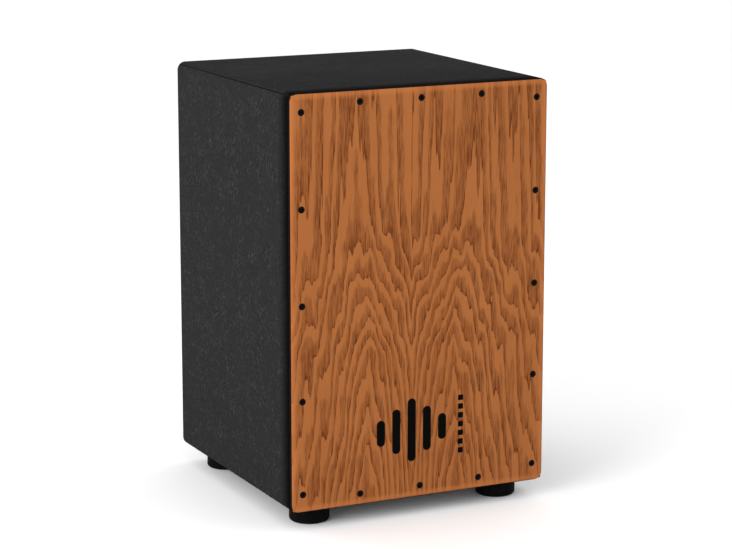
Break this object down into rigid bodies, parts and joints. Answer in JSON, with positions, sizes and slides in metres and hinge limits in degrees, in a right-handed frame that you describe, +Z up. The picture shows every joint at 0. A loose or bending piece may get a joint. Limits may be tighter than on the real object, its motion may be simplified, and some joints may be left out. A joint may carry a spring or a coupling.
{
  "type": "cajon",
  "caption": "Wooden box drum to sit on and strike: thin screwed front plate, rear sound hole, rubber feet, and strings behind the plate tightened by bolts from underneath.",
  "frame": {"origin": "on the floor, under the middle of the box", "axes": "+Z up; the front plate faces -Y; +X is to the right of someone facing the front plate"},
  "size_m": [0.298, 0.3, 0.457],
  "materials": {
    "black_foil": "satin black textured foil over fibreboard",
    "ash_ply": "satin lacquer over stained ash veneer plywood",
    "pine": "planed bare pine",
    "black_screw": "black phosphate steel",
    "foot_rubber": "matte moulded rubber",
    "zinc_steel": "bright zinc plate",
    "string_wire": "plain bright steel wire",
    "brass": "turned brass"
  },
  "bodies": {
    "case": {"top_panel": "black_foil", "bottom_panel": "black_foil", "left_side_panel": "black_foil", "right_side_panel": "black_foil", "back_panel": "black_foil", "front_plate": "ash_ply", "front_batten_top": "pine", "front_batten_bottom": "pine", "front_batten_left": "pine", "front_batten_right": "pine", "rear_batten_top": "pine", "rear_batten_bottom": "pine", "rear_batten_left": "pine", "rear_batten_right": "pine", "front_screw_top_mid_left": "black_screw", "front_screw_top_centre": "black_screw", "front_screw_top_mid_right": "black_screw", "front_screw_bottom_left": "black_screw", "front_screw_bottom_mid_left": "black_screw", "front_screw_bottom_centre": "black_screw", "front_screw_bottom_mid_right": "black_screw", "front_screw_bottom_right": "black_screw", "front_screw_left_upper": "black_screw", "front_screw_left_middle": "black_screw", "front_screw_left_lower": "black_screw", "front_screw_right_upper": "black_screw", "front_screw_right_middle": "black_screw", "front_screw_right_lower": "black_screw", "foot_front_left": "foot_rubber", "foot_front_right": "foot_rubber", "foot_rear_left": "foot_rubber", "foot_rear_right": "foot_rubber", "foot_washer_front_left": "zinc_steel", "foot_washer_front_right": "zinc_steel", "foot_washer_rear_left": "zinc_steel", "foot_washer_rear_right": "zinc_steel", "foot_screw_front_left": "zinc_steel", "foot_screw_front_right": "zinc_steel", "foot_screw_rear_left": "zinc_steel", "foot_screw_rear_right": "zinc_steel", "string_bracket": "zinc_steel", "bracket_screw_left": "zinc_steel", "bracket_screw_right": "zinc_steel"},
    "tuning_bolt_left": {"tuning_bolt_left": "black_screw"},
    "saddle_left": {"string_saddle_left": "zinc_steel", "string_left": "string_wire", "string_ball_left_outer": "brass", "string_ball_left_inner": "brass"},
    "corner_screw_left": {"front_screw_top_left": "black_screw"},
    "tuning_bolt_right": {"tuning_bolt_right": "black_screw"},
    "saddle_right": {"string_saddle_right": "zinc_steel", "string_right": "string_wire", "string_ball_right_outer": "brass", "string_ball_right_inner": "brass"},
    "corner_screw_right": {"front_screw_top_right": "black_screw"}
  },
  "joints": [
    {"name": "tuning_bolt_left_turn", "type": "hinge", "parent": "case", "child": "tuning_bolt_left", "pos_m": [-0.022, -0.1385, 0.0203], "axis": [0, 0, 1], "range_deg": [-720, 720]},
    {"name": "saddle_left_travel", "type": "slide", "parent": "case", "child": "saddle_left", "axis": [0, 0, 1], "range_m": [-0.0016, 0.0016], "deforming": ["string_left"]},
    {"name": "tuning_bolt_right_turn", "type": "hinge", "parent": "case", "child": "tuning_bolt_right", "pos_m": [0.022, -0.1385, 0.0203], "axis": [0, 0, 1], "range_deg": [-720, 720]},
    {"name": "saddle_right_travel", "type": "slide", "parent": "case", "child": "saddle_right", "axis": [0, 0, 1], "range_m": [-0.0016, 0.0016], "deforming": ["string_right"]},
    {"name": "corner_screw_left_turn", "type": "hinge", "parent": "case", "child": "corner_screw_left", "pos_m": [-0.1356, -0.1499, 0.4375], "axis": [0, -1, 0], "range_deg": [0, 360]},
    {"name": "corner_screw_right_turn", "type": "hinge", "parent": "case", "child": "corner_screw_right", "pos_m": [0.1356, -0.1499, 0.4375], "axis": [0, -1, 0], "range_deg": [0, 360]}
  ],
  "couplings": [
    {"joint": "tuning_bolt_left_turn", "follows": "saddle_left_travel", "rad_per_m": -7854},
    {"joint": "tuning_bolt_right_turn", "follows": "saddle_right_travel", "rad_per_m": -7854}
  ]
}
